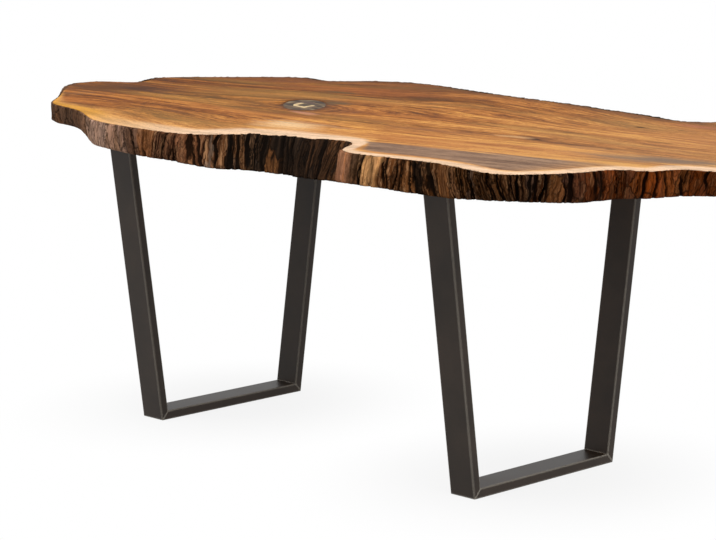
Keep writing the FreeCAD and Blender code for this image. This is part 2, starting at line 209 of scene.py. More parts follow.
# How rough the bark is: share of the way round, then 0 to 1. Worn at the left end, wide flakes on the right.
ROUGHNESS = np.array([
    (0.00, 0.35), (0.05, 0.15), (0.09, 0.22), (0.14, 0.40), (0.165, 0.85), (0.19, 1.00), (0.24, 1.00),
    (0.285, 0.95), (0.355, 0.95), (0.385, 0.60), (0.43, 0.55), (0.50, 0.80), (0.93, 0.60), (1.00, 0.35),
])
# Width of the bark's rim on the top face: share of the way round, then metres. Wide on the far side.
RIM = np.array([
    (0.00, 0.008), (0.03, 0.0035), (0.44, 0.003), (0.50, 0.007), (0.57, 0.021), (0.95, 0.021), (0.985, 0.013),
    (1.00, 0.008),
])


def bark_relief(around, height):
    """How far the bark stands out from its smooth edge, in metres, with crack depth and flake tint, 0 to 1.

    The face is the roughness times (stand of flake and strip + step at the flake's break + noise - the
    three cracks), plus the swell, less the tuck at the foot and the chips out of the lip. The cracks wander
    by three sizes of noise, and each wide flake is broken across once.
    """
    wander = (0.0038 * lattice_noise(around, 0 * height, 61, 1, 10)
              + 0.0006 * lattice_noise(around, height, 260, 3, 11)
              + 0.00028 * lattice_noise(around, height, 900, 7, 12))
    rough = np.interp(around, ROUGHNESS[:, 0], ROUGHNESS[:, 1])
    around = (around + wander) % 1.0
    (deep, plate), (mid, strip), (fine, _) = [cracks(around, height, count, mouth, seed)
                                              for seed, (count, mouth, _) in enumerate(CRACKS, 1)]
    (plates, _, deep_cut), (strips, _, mid_cut), (_, _, fine_cut) = CRACKS
    rng = np.random.default_rng(4)
    plate_tint = rng.random(plates)[plate]
    strip_tint = rng.random(strips)[strip]
    broken = rng.uniform(0.15, 1.25, plates)[plate] + 0.05 * lattice_noise(around, height, 900, 1, 13)
    step = rng.uniform(-BREAK_STEP, BREAK_STEP, plates)[plate]
    stand = (PLATE_STAND * (plate_tint - 0.45) + STRIP_STAND * (strip_tint - 0.5) + step * (height > broken)
             + 0.0012 * lattice_noise(around, height, 300, 4, 5)
             + 0.0010 * lattice_noise(around, height, 1400, 10, 6))
    relief = rough * (stand - deep_cut * deep - mid_cut * mid - fine_cut * fine)
    swell = SWELL * np.sin(np.pi * height)
    foot = -TUCK * np.clip(1 - height / 0.08, 0, 1) ** 2
    chip = np.clip(lattice_noise(around, 0 * height, 620, 1, 7) - 0.1, 0, 1)
    lip = -CHIP * rough * chip * np.clip((height - 0.84) / 0.16, 0, 1) ** 1.5
    face = np.clip(relief + swell + foot + lip, FURTHEST_IN, FURTHEST_OUT)
    depth = np.clip(rough * (deep + 0.7 * mid + 0.3 * fine), 0, 1)
    return face, depth, 0.6 * plate_tint + 0.4 * strip_tint


def edge_point(height):
    """Smooth edge at a share of the slab's thickness, and its outward normal."""
    loop = UNDER_EDGE * (1 - height) + TOP_EDGE * height
    return loop, outward(loop)


def wood_inset(height):
    """Where the wood ends under the bark, from the smooth edge: one bark thickness in, less near the top.

    From 0.80 of the thickness up it passes, as the square of the share, to the rim's width on the top
    face, and it always stays behind the bark's own face.
    """
    relief, _, _ = bark_relief(SHARE, np.full(COLUMNS, height))
    thin = np.clip((height - 0.80) / 0.20, 0, 1) ** 2
    base = -BARK_THICKNESS * (1 - thin) - np.interp(SHARE, RIM[:, 0], RIM[:, 1]) * thin
    return np.minimum(base, relief - BARK_COVER)


# ---------------------------------------------------------------- meshes

def ring_mesh(name, rows, low_pole=None, high_pole=None):
    """Closed surface through rows of points round the table, (COLUMNS, 3) each, with a pole at either end.

    Without poles the last row is joined to the first. Vertex k of row r is r * COLUMNS + k.
    """
    points = np.concatenate(rows)
    count = len(rows)
    k = np.arange(COLUMNS)
    n = (k + 1) % COLUMNS
    quads = []
    for r in range(count if low_pole is None else count - 1):
        here = r * COLUMNS
        there = (r + 1) % count * COLUMNS
        quads.append(np.stack([here + k, here + n, there + n, there + k], 1))
    faces = np.concatenate(quads).tolist()
    if low_pole is not None:
        points = np.concatenate([points, [low_pole, high_pole]])
        last = count * COLUMNS
        top = (count - 1) * COLUMNS
        faces += np.stack([np.full(COLUMNS, last), n, k], 1).tolist()
        faces += np.stack([top + k, top + n, np.full(COLUMNS, last + 1)], 1).tolist()
    mesh = bpy.data.meshes.new(name)
    mesh.from_pydata(points.tolist(), [], faces)
    mesh.polygons.foreach_set("use_smooth", np.ones(len(faces), dtype=bool))
    mesh.update()
    piece = bpy.data.objects.new(name, mesh)
    bpy.context.scene.collection.objects.link(piece)
    return piece


def at_height(loop, z):
    """Points of a loop at one height, or at a height of their own each, kept inside the bark's own box."""
    low, high = np.array(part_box("bark_edge"))
    points = np.stack([loop.real, loop.imag, np.broadcast_to(z, loop.shape)], 1)
    points[:, :2] = np.clip(points[:, :2], low[:2] + BOX_MARGIN, high[:2] - BOX_MARGIN)
    return points


def paint(piece, name, values, kind="FLOAT", slot="value"):
    """Store one number, or one vector, per vertex under a name that the finish reads."""
    layer = piece.data.attributes.new(name, kind, "POINT")
    layer.data.foreach_set(slot, np.asarray(values, dtype=np.float32).ravel())


def make_bark():
    """Bark ring: lip against the wood, chipped rim on top, rough face, flat foot and inner wall.

    The rows run once round the ring's section. Each row is the smooth edge at its height, moved out along
    its normal by bark_relief on the face and by wood_inset on the wall. The last row joins the first.
    """
    rows, up, depths, tints = [], [], [], []

    def add(loop, z, height, depth, tint):
        """Take one row, with its share of the height, its crack depth and its flake tint."""
        rows.append(at_height(loop, z))
        up.append(np.broadcast_to(height, COLUMNS))
        depths.append(np.broadcast_to(depth, COLUMNS))
        tints.append(np.broadcast_to(tint, COLUMNS))

    loop, normal = edge_point(1.0)
    relief, depth, tint = bark_relief(SHARE, np.ones(COLUMNS))
    inset = wood_inset(1.0)
    # The rim lies 0.4 to 2.4 mm under the sanded top face, and its outer corner 0.8 mm lower still.
    sunk = 0.0014 + 0.0010 * lattice_noise(SHARE, np.zeros(COLUMNS), 700, 1, 21)
    corner = 0.0008
    add(loop + normal * inset, TABLE_HEIGHT - sunk, 1.0, depth, tint)
    add(loop + normal * (inset * 0.4 + relief * 0.6), TABLE_HEIGHT - sunk, 1.0, depth, tint)
    for height in 1 - np.linspace(0, 1, 20) ** 1.1:
        loop, normal = edge_point(height)
        relief, depth, tint = bark_relief(SHARE, np.full(COLUMNS, height))
        z = UNDERSIDE + SLAB_THICKNESS * height
        if height == 1.0:
            z = z - sunk - corner
        add(loop + normal * relief, z, height, depth, tint)
    loop, normal = edge_point(0.0)
    add(loop + normal * (relief * 0.5 - 0.5 * BARK_THICKNESS), UNDERSIDE, 0.0, 0.3, tint)
    for height in WALL_HEIGHTS:
        loop, normal = edge_point(height)
        add(loop + normal * wood_inset(height), UNDERSIDE + SLAB_THICKNESS * height, height, 1.0, 0.5)
    rows.reverse()
    bark = ring_mesh("bark_relief", rows)
    paint(bark, "crack", np.concatenate(depths[::-1]))
    paint(bark, "flake", np.concatenate(tints[::-1]))
    paint(bark, "around", np.tile(SHARE, len(rows)))
    # Where a fibre starts on the top edge, and how high up it the point is: the fibres run upright.
    edge = np.tile(TOP_EDGE, len(rows))
    fibre = np.stack([edge.real, edge.imag, np.concatenate(up[::-1]) * SLAB_THICKNESS], 1)
    paint(bark, "fibre", fibre, "FLOAT_VECTOR", "vector")
    return bark


def inner_oval(loop):
    """Oval well inside a slab outline, each point at the outline point's own angle as the oval sees it.

    The angle is atan2(y / 0.25, x / 0.65) about the oval's middle. Its departure from an even turn is
    smoothed over 15 mm, and it always moves on by a fifth of an even step or more.
    """
    middle = complex(0.05, 0.0)
    half_length, half_width, reach = 0.80, 0.25, 0.65
    smoothing, least_step = 0.015, 0.2
    seen = (loop.real - middle.real) / reach + 1j * (loop.imag - middle.imag) / half_width
    angle = np.unwrap(np.angle(seen))
    even = 2 * np.pi * SHARE
    pace = np.fft.fftfreq(COLUMNS, 1 / COLUMNS)
    soften = np.exp(-0.5 * (2 * np.pi * pace * smoothing / EDGE_LENGTH) ** 2)
    angle = even + np.fft.ifft(np.fft.fft(angle - even) * soften).real
    steps = np.diff(np.append(angle, angle[0] + 2 * np.pi))
    steps = np.maximum(steps, least_step * 2 * np.pi / COLUMNS)
    angle = angle[0] + np.cumsum(steps) * (2 * np.pi / steps.sum())
    return middle + half_length * np.cos(angle) + half_width * 1j * np.sin(angle)


def shrinking_loops(loop, centre, long_axis, short_axis, turn, shares):
    """Loops that pass from an oval to an ellipse without folding.

    The oval is a sum of turning arrows; the k-th one shrinks as the share to the power k, and what is
    left over is the ellipse.
    """
    arrows = np.fft.fft(loop) / COLUMNS
    pace = np.fft.fftfreq(COLUMNS, 1 / COLUMNS)
    angle = 2 * np.pi * SHARE + np.angle(arrows[1]) - math.radians(turn)
    ellipse = long_axis * np.cos(angle) + 1j * short_axis * np.sin(angle)
    goal = centre + np.exp(1j * math.radians(turn)) * ellipse
    rest = arrows - np.fft.fft(goal) / COLUMNS
    power = np.maximum(np.abs(pace), 1)
    return [goal + np.fft.ifft(rest * share ** power) * COLUMNS for share in shares]


# Width of the pale sapwood inside the edge: share of the way round, then metres.
SAPWOOD = np.array([
    (0.00, 0.003), (0.04, 0.008), (0.07, 0.026), (0.10, 0.050), (0.14, 0.070), (0.17, 0.080),
    (0.20, 0.085), (0.235, 0.065), (0.255, 0.040), (0.275, 0.024), (0.31, 0.034), (0.355, 0.040),
    (0.40, 0.046), (0.435, 0.052), (0.475, 0.045), (0.515, 0.030), (0.56, 0.003), (0.60, 0.001),
    (0.96, 0.001), (1.00, 0.003),
])


def make_wood():
    """Slab wood: flat underside, side wall behind the bark, eased lip, sanded top and knot socket.

    The rows run from a pole under the knot out to the edge, up the wall and in again to the knot. On the
    flats they pass in straight shares from the edge to the inner oval, and from there by shrinking_loops.
    """
    floor_z = UNDERSIDE + 0.0001        # clear of the mounting plates
    under, under_out = edge_point(0.0)
    hem = under + under_out * (wood_inset(0.0) - WOOD_GAP)
    oval = inner_oval(hem)
    middle_spot = 0.01                  # radius of the smallest loop under the knot
    rows = [at_height(loop, floor_z)
            for loop in shrinking_loops(oval, KNOT, middle_spot, middle_spot, 0.0, (0.2, 0.6, 1.0))]
    rows += [at_height(oval * (1 - share) + hem * share, floor_z) for share in (0.5, 0.9)]
    for height in WALL_HEIGHTS:
        loop, normal = edge_point(height)
        z = floor_z if height == 0 else UNDERSIDE + SLAB_THICKNESS * height
        rows.append(at_height(loop + normal * (wood_inset(height) - WOOD_GAP), z))
    top, top_out = edge_point(1.0)
    rim = wood_inset(1.0) - WOOD_GAP
    # The eased lip: how far back from the rim, and how far down.
    eased = 0.0012
    for back, down in ((0.0, 0.0014), (0.0004, 0.0006), (eased, 0.0)):
        rows.append(at_height(top + top_out * (rim - back), TABLE_HEIGHT - down))
    # Where the even rows start: 22 mm inside the smooth edge, or 4.5 mm inside a wider rim.
    flat_start = -np.maximum(0.022, np.interp(SHARE, RIM[:, 0], RIM[:, 1]) + 0.0045)
    for share in (0.25, 0.6, 1.0):
        inset = (rim - eased) * (1 - share) + flat_start * share
        rows.append(at_height(top + top_out * inset, TABLE_HEIGHT))
    start = top + top_out * flat_start
    oval = inner_oval(start)
    rows += [at_height(start * (1 - share) + oval * share, TABLE_HEIGHT) for share in (0.1, 0.25, 0.45, 0.7)]
    for loop in shrinking_loops(oval, KNOT, KNOT_HALF_LENGTH, KNOT_HALF_WIDTH, KNOT_TURN,
                                (1.0, 0.75, 0.5, 0.3, 0.15, 0.0)):
        rows.append(at_height(loop, TABLE_HEIGHT))
    socket = rows[-1].copy()
    socket[:, 2] = TABLE_HEIGHT - KNOT_DEPTH
    rows.append(socket)
    wood = ring_mesh("slab_wood", rows, (KNOT.real, KNOT.imag, floor_z),
                     (KNOT.real, KNOT.imag, TABLE_HEIGHT - KNOT_DEPTH))
    # Distance to the top edge, and the same in widths of the sapwood there; the poles are far from both.
    points = np.concatenate(rows)
    place = points[:, 0] + 1j * points[:, 1]
    coarse = TOP_EDGE[::3]
    edge = np.concatenate([np.abs(part[:, None] - coarse[None, :]).min(axis=1)
                           for part in np.array_split(place, 60)])
    paint(wood, "edge", np.append(edge, [0.5, 0.5]))
    width = np.interp(SHARE, SAPWOOD[:, 0], SAPWOOD[:, 1])
    paint(wood, "sapwood", np.append(edge / np.tile(width, len(rows)), [9.0, 9.0]))
    return wood


# ---------------------------------------------------------------- finishes

def linear(code):
    """sRGB hex to linear colour: ((c + 0.055) / 1.055) ^ 2.4 above the toe."""
    parts = [int(code[i:i + 2], 16) / 255 for i in (1, 3, 5)]
    return tuple(c / 12.92 if c <= 0.04045 else ((c + 0.055) / 1.055) ** 2.4 for c in parts) + (1.0,)


def feed(tree, node, feeds):
    """Link each input to the node or socket given for it, or set it to the value given for it."""
    for slot, source in feeds.items():
        if isinstance(source, bpy.types.Node):
            source = next(o for o in source.outputs if o.enabled)
        if isinstance(source, bpy.types.NodeSocket):
            tree.links.new(source, node.inputs[slot])
        else:
            node.inputs[slot].default_value = source


def put(tree, kind, feeds=None, **settings):
    """Add a shader node with its settings, and feed its inputs."""
    node = tree.nodes.new("ShaderNode" + kind)
    for key, value in settings.items():
        setattr(node, key, value)
    feed(tree, node, feeds or {})
    return node


# Settings of a Mix node that lays one colour over another, and of one that multiplies the two.
OVER = {"data_type": "RGBA"}
TINT = {"data_type": "RGBA", "blend_type": "MULTIPLY"}


def shade_over(tree, colour, code, value, start, full, most=1.0):
    """Lay a colour over another; its share goes from 0 to most as a value goes from start to full."""
    share = put(tree, "MapRange", {"Value": value, "From Min": start, "From Max": full, "To Max": most})
    return put(tree, "Mix", {0: share, 6: colour, 7: linear(code)}, **OVER)


def set_stops(ramp, stops):
    """Fill a colour ramp with (place, hex) stops."""
    elements = ramp.color_ramp.elements
    while len(elements) > 1:
        elements.remove(elements[-1])
    for i, (place, code) in enumerate(stops):
        element = elements[0] if i == 0 else elements.new(place)
        element.position = place
        element.color = linear(code)


def new_material(name):
    """New node material, with its tree and its shader."""
    material = bpy.data.materials.new(name)
    material.use_nodes = True
    tree = material.node_tree
    return material, tree, tree.nodes["Principled BSDF"]


def wear(piece, material):
    """Give a piece one material in all its slots."""
    if not piece.data.materials:
        piece.data.materials.append(material)
    for i in range(len(piece.data.materials)):
        piece.data.materials[i] = material


def streaks(tree, place, scale, detail, roughness=0.5, start=(0, 0, 0)):
    """Smooth random pattern with cells of 1 / scale metres along each axis."""
    place = put(tree, "Mapping", {"Vector": place, "Location": start, "Scale": scale})
    return put(tree, "TexNoise", {"Vector": place, "Scale": 1.0, "Detail": detail, "Roughness": roughness})


def bell(tree, value):
    """1 at 0, falling off on both sides: exp(-value ^ 2)."""
    value = put(tree, "Math", {0: value, 1: 2.0}, operation="POWER")
    value = put(tree, "Math", {0: value, 1: -1.0}, operation="MULTIPLY")
    return put(tree, "Math", {0: value}, operation="EXPONENT")


def off_middle(tree, place, middle, half_length, half_width, turn=0.0):
    """0 in the middle of an ellipse and 1 on its edge: the length of a place in the ellipse's own axes.

    Its long axis is turned by some degrees from the table's length.
    """
    place = put(tree, "Mapping", {"Vector": place, "Location": middle, "Rotation": (0, 0, math.radians(turn)),
                                  "Scale": (half_length, half_width, 1.0)}, vector_type="TEXTURE")
    return put(tree, "VectorMath", {0: place}, operation="LENGTH").outputs["Value"]


# Marks in the grain: place, half length and half width in metres, turn in degrees, colour, strength.
GRAIN_MARKS = (
    (-0.961, -0.051, 0.190, 0.150, 26, "#5a361c", 1.00),   # brown shade by the left end
    (-0.858, -0.041, 0.127, 0.027, -8, "#4a2e20", 0.90),   # dark smear in it
    (-0.889, -0.025, 0.060, 0.050, -2, "#43291a", 0.85),
    (-0.912, -0.211, 0.063, 0.043, 24, "#7d5230", 0.50),
    (-0.792, 0.339, 0.163, 0.031, 35, "#70452a", 0.55),
    (-0.718, 0.125, 0.145, 0.021, 13, "#7d5028", 0.50),
    (-0.458, -0.303, 0.067, 0.020, -5, "#6a4224", 0.65),   # brown figure
    (-0.289, -0.382, 0.091, 0.017, 2, "#9a6332", 0.45),
    (-0.477, 0.265, 0.066, 0.019, 8, "#57492f", 0.80),   # olive streak behind the knot
    (-0.198, -0.117, 0.055, 0.017, -14, "#c98f72", 0.55),
    (-0.063, -0.296, 0.110, 0.060, -6, "#e4c498", 0.60),   # pale cloud by the bay
    (-0.046, -0.245, 0.043, 0.010, -3, "#9c6c48", 0.70),
    (0.069, -0.259, 0.046, 0.012, 0, "#a67a55", 0.60),
    (-0.535, 0.480, 0.160, 0.033, 14, "#7d4f2c", 0.50),
    (-0.085, 0.191, 0.024, 0.017, 33, "#4a3522", 0.85),
    (0.142, 0.094, 0.025, 0.012, 3, "#624427", 0.70),
    (0.114, 0.254, 0.090, 0.012, -14, "#5a3d24", 0.60),
    (0.001, -0.102, 0.142, 0.021, -3, "#87562f", 0.60),   # brown streak across the waist
    (0.253, -0.147, 0.164, 0.027, 6, "#835536", 0.55),
    (0.490, -0.108, 0.023, 0.011, -25, "#3d2517", 0.98),   # pin knot
    (0.500, -0.085, 0.094, 0.016, -5, "#6a4328", 0.75),
    (0.430, -0.108, 0.050, 0.017, 6, "#d6a874", 0.55),
    (0.508, 0.220, 0.017, 0.015, -11, "#3a2618", 0.98),   # pin knot
    (0.711, -0.129, 0.022, 0.010, -11, "#4f301c", 0.85),
    (0.721, 0.035, 0.051, 0.011, -6, "#654428", 0.70),
    (0.895, -0.183, 0.190, 0.050, 11, "#78614f", 1.00),   # second grey streak
    (0.455, 0.431, 0.086, 0.019, -3, "#a0623c", 0.60),
    (0.584, 0.319, 0.071, 0.020, -6, "#a8684a", 0.60),
    (0.679, -0.141, 0.105, 0.017, 10, "#a87c50", 0.50),
    (-0.311, 0.084, 0.074, 0.038, -4, "#5f4c38", 0.95),   # smoky tail beside the knot
)


# Streaks in the heartwood, 75, 24, 7 and 2 mm across and ten to twenty times as long: scale, detail,
# share in the tone.
STREAKS = (((0.9, 13.0, 13.0), 2.0, 0.95), ((2.4, 42.0, 42.0), 2.0, 0.72), ((9.0, 140.0, 140.0), 3.0, 1.02),
           ((40.0, 430.0, 430.0), 2.0, 0.70))
TONE_START = -1.11


def bent_grain(tree, place, x, y, z):
    """Coordinates that follow the grain: x along it, and a place across it that bows, spreads and wanders.

    across = y - 0.40 (y + 0.12) bell((x + 0.10) / 0.60), round the table's waist,
    + 0.62 (knot's y - y) bell(distance from the knot), + 0.11 times noise with cells 220 mm by 670 mm.
    """
    waist = put(tree, "Math", {0: x, 1: 0.10}, operation="ADD")
    waist = bell(tree, put(tree, "Math", {0: waist, 1: 0.60}, operation="DIVIDE"))
    off_line = put(tree, "Math", {0: y, 1: 0.12}, operation="ADD")
    bow = put(tree, "Math", {0: waist, 1: off_line}, operation="MULTIPLY")
    bow = put(tree, "Math", {0: bow, 1: -0.40}, operation="MULTIPLY")
    across = put(tree, "Math", {0: y, 1: bow}, operation="ADD")
    near_knot = bell(tree, off_middle(tree, place, (KNOT.real, KNOT.imag, TABLE_HEIGHT), 0.26, 0.12))
    aside = put(tree, "Math", {0: KNOT.imag, 1: y}, operation="SUBTRACT")
    aside = put(tree, "Math", {0: aside, 1: near_knot}, operation="MULTIPLY")
    across = put(tree, "Math", {0: aside, 1: 0.62, 2: across}, operation="MULTIPLY_ADD")
    wander = streaks(tree, place, (1.5, 4.5, 4.5), 2.5)
    across = put(tree, "Math", {0: wander, 1: 0.11, 2: across}, operation="MULTIPLY_ADD")
    return put(tree, "CombineXYZ", {0: x, 1: across, 2: z})


def heartwood(tree, grain, x, y, edge, tone):
    """Colour of the heartwood: browns by tone, redder and olive drifts, dark veins and a dull far rim."""
    # Darker towards the far left and the far edge, lighter to the right.
    drift = put(tree, "Math", {0: x, 1: 0.12, 2: tone}, operation="MULTIPLY_ADD")
    drift = put(tree, "Math", {0: y, 1: -0.16, 2: drift}, operation="MULTIPLY_ADD")
    colour = put(tree, "ValToRGB", {0: drift})
    set_stops(colour, ((0.26, "#432511"), (0.42, "#71421d"), (0.54, "#8f5828"), (0.68, "#ac6f36"),
                       (0.88, "#cd934c")))
    # Slow drifts, 110 mm by 625 mm, to a redder and to an olive brown.
    hue = streaks(tree, grain, (1.6, 9.0, 9.0), 2.0).outputs["Color"]
    hue = put(tree, "SeparateXYZ", {0: hue})
    for part, most, code in ((hue.outputs[0], 0.45, "#9c5a2e"), (hue.outputs[1], 0.40, "#9a7a42")):
        colour = shade_over(tree, colour, code, part, 0.50, 0.68, most)
    # Warmer at the left end, greyer and paler towards the right.
    warmer = put(tree, "MapRange", {"Value": x, "From Min": -0.2, "From Max": -1.0, "To Max": 0.8})
    colour = put(tree, "Mix", {0: warmer, 6: colour, 7: linear("#f6e8cc")}, **TINT)
    colour = shade_over(tree, colour, "#a68160", x, 0.1, 0.8, 0.24)
    # Dark veins, about 3 mm by 150 mm where they stand out of cells 8 mm by 200 mm.
    vein = streaks(tree, grain, (5.0, 120.0, 120.0), 3.0, 0.65, (7.0, 3.0, 0.0))
    colour = shade_over(tree, colour, "#693d1d", vein, 0.56, 0.66, 0.50)
    # Grey-brown rim, full 12 mm inside the far edge and gone at 85 mm.
    far = put(tree, "MapRange", {"Value": y, "From Min": 0.05, "From Max": 0.25})
    shade = put(tree, "MapRange", {"Value": edge, "From Min": 0.085, "From Max": 0.012})
    shade = put(tree, "Math", {0: shade, 1: far}, operation="MULTIPLY")
    shade = put(tree, "Math", {0: shade, 1: 0.60}, operation="MULTIPLY")
    return put(tree, "Mix", {0: shade, 6: colour, 7: linear("#4a3122")}, **OVER)


def sapwood_over(tree, colour, x, sapwood, layers, tone):
    """Pale sapwood along the edge, golden on the left and pinkish on the right, its inner border ragged."""
    ragged = put(tree, "Math", {0: layers[1], 1: 0.7, 2: sapwood}, operation="MULTIPLY_ADD")
    ragged = put(tree, "Math", {0: layers[0], 1: 0.6, 2: ragged}, operation="MULTIPLY_ADD")
    pale = put(tree, "MapRange", {"Value": ragged, "From Min": 2.00, "From Max": 1.35},
               interpolation_type="SMOOTHSTEP")
    glow = put(tree, "MapRange", {"Value": ragged, "From Min": 3.3, "From Max": 1.5, "To Max": 0.75},
               interpolation_type="SMOOTHSTEP")
    golden = put(tree, "ValToRGB", {0: tone})
    set_stops(golden, ((0.35, "#a06a35"), (0.60, "#c68e4e"), (0.85, "#e0ae6c")))
    colour = put(tree, "Mix", {0: glow, 6: colour, 7: golden}, **OVER)
    rightward = put(tree, "MapRange", {"Value": x, "From Min": -0.55, "From Max": -0.10})
    sap = put(tree, "Mix", {0: rightward, 6: linear("#d0943e"), 7: linear("#debb9a")}, **OVER)
    sap_tone = put(tree, "MapRange", {"Value": tone, "From Min": 0.30, "From Max": 0.75,
                                      "To Min": 0.66, "To Max": 1.04})
    sap = put(tree, "Mix", {0: 1.0, 6: sap, 7: sap_tone}, **TINT)
    return put(tree, "Mix", {0: pale, 6: colour, 7: sap}, **OVER)


def stained_band_over(tree, colour, x, y, edge, layers, tone):
    """Grey-mauve band of stained heartwood between the sapwood and the honey wood on the right.

    Its far border is the line y = 0.137 x - 0.43. Its near one lies 44 to 58 mm inside the edge, and up to
    24 mm nearer to it at the left. Its left end is frayed between x = 0.12 and 0.21, and it fades out from
    x = 0.76 to 0.96.
    """
    upper = put(tree, "Math", {0: layers[1], 1: 0.05, 2: y}, operation="MULTIPLY_ADD")
    upper = put(tree, "Math", {0: x, 1: -0.137, 2: upper}, operation="MULTIPLY_ADD")
    band = put(tree, "MapRange", {"Value": upper, "From Min": -0.390, "From Max": -0.412},
               interpolation_type="SMOOTHSTEP")
    head = put(tree, "MapRange", {"Value": x, "From Min": 0.20, "From Max": 0.42,
                                  "To Min": 0.024, "To Max": 0.0})
    inner = put(tree, "Math", {0: edge, 1: head}, operation="ADD")
    inner = put(tree, "MapRange", {"Value": inner, "From Min": 0.044, "From Max": 0.058},
                interpolation_type="SMOOTHSTEP")
    begin = put(tree, "Math", {0: layers[2], 1: 0.16, 2: x}, operation="MULTIPLY_ADD")
    begin = put(tree, "MapRange", {"Value": begin, "From Min": 0.20, "From Max": 0.29})
    end = put(tree, "MapRange", {"Value": x, "From Min": 0.96, "From Max": 0.76})
    for part in (inner, begin, end, 0.92):
        band = put(tree, "Math", {0: band, 1: part}, operation="MULTIPLY")
    stain = put(tree, "ValToRGB", {0: tone})
    set_stops(stain, ((0.25, "#4b3a30"), (0.50, "#6f5748"), (0.75, "#8e735e")))
    return put(tree, "Mix", {0: band, 6: colour, 7: stain}, **OVER)


def marks_over(tree, colour, place, layers):
    """Single marks, each a soft lens along the grain, torn into streaks, and growth rings hugging the knot.

    The places are shaken by noise 55 mm across, up to 30 mm along and 18 mm across the table.
    """
    shake_along, shake_across = 0.030, 0.018
    shaken = put(tree, "TexNoise", {"Vector": place, "Scale": 18.0, "Detail": 2.0}).outputs["Color"]
    shaken = put(tree, "VectorMath", {0: shaken, 1: (shake_along, shake_across, 0.0), 2: place},
                 operation="MULTIPLY_ADD")

    def lens(middle_x, middle_y, half_length, half_width, turn):
        """0 in the middle of a lens and 1 on its edge. Its middle moves by the shake's mean."""
        middle = (middle_x + shake_along / 2, middle_y + shake_across / 2, TABLE_HEIGHT)
        return off_middle(tree, shaken, middle, half_length, half_width, turn)

    streaky = put(tree, "Math", {0: layers[1], 1: 1.5, 2: -1.25}, operation="MULTIPLY_ADD")
    streaky = put(tree, "Math", {0: layers[2], 1: 1.0, 2: streaky}, operation="MULTIPLY_ADD")
    for mark_x, mark_y, half_length, half_width, turn, code, strength in GRAIN_MARKS:
        reach = lens(mark_x, mark_y, half_length, half_width, turn)
        reach = put(tree, "Math", {0: reach, 1: streaky}, operation="ADD")
        reach = put(tree, "MapRange", {"Value": reach, "From Min": 1.25, "From Max": 0.25,
                                       "To Max": strength}, interpolation_type="SMOOTHSTEP")
        colour = put(tree, "Mix", {0: reach, 6: colour, 7: linear(code)}, **OVER)

    # Rings about 12 to 27 mm apart, out to 1.9 times the knot's size, and a dark collar.
    knot = lens(KNOT.real, KNOT.imag, KNOT_HALF_LENGTH, KNOT_HALF_WIDTH, KNOT_TURN)
    rings = put(tree, "Math", {0: knot, 1: 26.0}, operation="MULTIPLY")
    rings = put(tree, "Math", {0: rings}, operation="SINE")
    rings = put(tree, "MapRange", {"Value": rings, "From Min": 0.1, "From Max": 1.0, "To Max": 0.55})
    close = put(tree, "MapRange", {"Value": knot, "From Min": 1.9, "From Max": 1.0})
    rings = put(tree, "Math", {0: rings, 1: close}, operation="MULTIPLY")
    colour = put(tree, "Mix", {0: rings, 6: colour, 7: linear("#6a452a")}, **OVER)
    return shade_over(tree, colour, "#573723", knot, 1.20, 1.03, 0.85)


def slab_finish():
    """Sanded hardwood slab in hardwax oil.

    To the eye: long wavy streaks, pale sapwood, a grey-mauve band, dark pores and a soft dull sheen.
    """
    material, tree, shader = new_material("oiled_slab_wood")
    place = put(tree, "TexCoord").outputs["Object"]
    edge = put(tree, "Attribute", attribute_name="edge").outputs["Fac"]
    sapwood = put(tree, "Attribute", attribute_name="sapwood").outputs["Fac"]
    x, y, z = put(tree, "SeparateXYZ", {0: place}).outputs
    grain = bent_grain(tree, place, x, y, z)
    layers = []
    tone = TONE_START
    for scale, detail, share in STREAKS:
        layers.append(streaks(tree, grain, scale, detail, 0.6))
        tone = put(tree, "Math", {0: layers[-1], 1: share, 2: tone}, operation="MULTIPLY_ADD")
    colour = heartwood(tree, grain, x, y, edge, tone)
    colour = sapwood_over(tree, colour, x, sapwood, layers, tone)
    colour = stained_band_over(tree, colour, x, y, edge, layers, tone)
    colour = marks_over(tree, colour, place, layers)
    # Open pores, dark dashes 1 mm by 12 mm, the smallest that show.
    pores = streaks(tree, grain, (85.0, 1000.0, 1000.0), 1.0)
    pores = put(tree, "MapRange", {"Value": pores, "From Min": 0.60, "From Max": 0.70, "To Max": 0.60})
    colour = put(tree, "Mix", {0: pores, 6: colour, 7: linear("#3c2210")}, **OVER)
    gloss = put(tree, "MapRange", {"Value": layers[2], "To Min": 0.50, "To Max": 0.64})
    relief = put(tree, "Math", {0: layers[3], 1: pores}, operation="SUBTRACT")
    bump = put(tree, "Bump", {"Height": relief, "Strength": 0.25, "Distance": 0.0004})
    feed(tree, shader, {"Base Color": colour, "Roughness": gloss, "Specular IOR Level": 0.010,
                        "Normal": bump})
    return material


# Bark's ground colour: share of the way round, then colour.
BARK_GROUND = (
    (0.0, "#5a4030"), (0.06, "#634530"), (0.10, "#785640"),                         # worn, grey-brown end
    (0.13, "#c5a08a"), (0.155, "#664635"), (0.185, "#633d26"),                      # bleached, brown flank
    (0.205, "#191008"), (0.235, "#1a1009"), (0.262, "#452b18"),                     # nearly black hollow
    (0.270, "#6c4530"), (0.297, "#4c2b14"), (0.33, "#432710"), (0.370, "#2a1306"),  # pale flakes, then umber
    (0.41, "#6c3009"), (0.50, "#40240f"), (0.60, "#33231a"), (0.92, "#33231a"),     # red-brown end, far side
    (1.0, "#5a4030"),
)
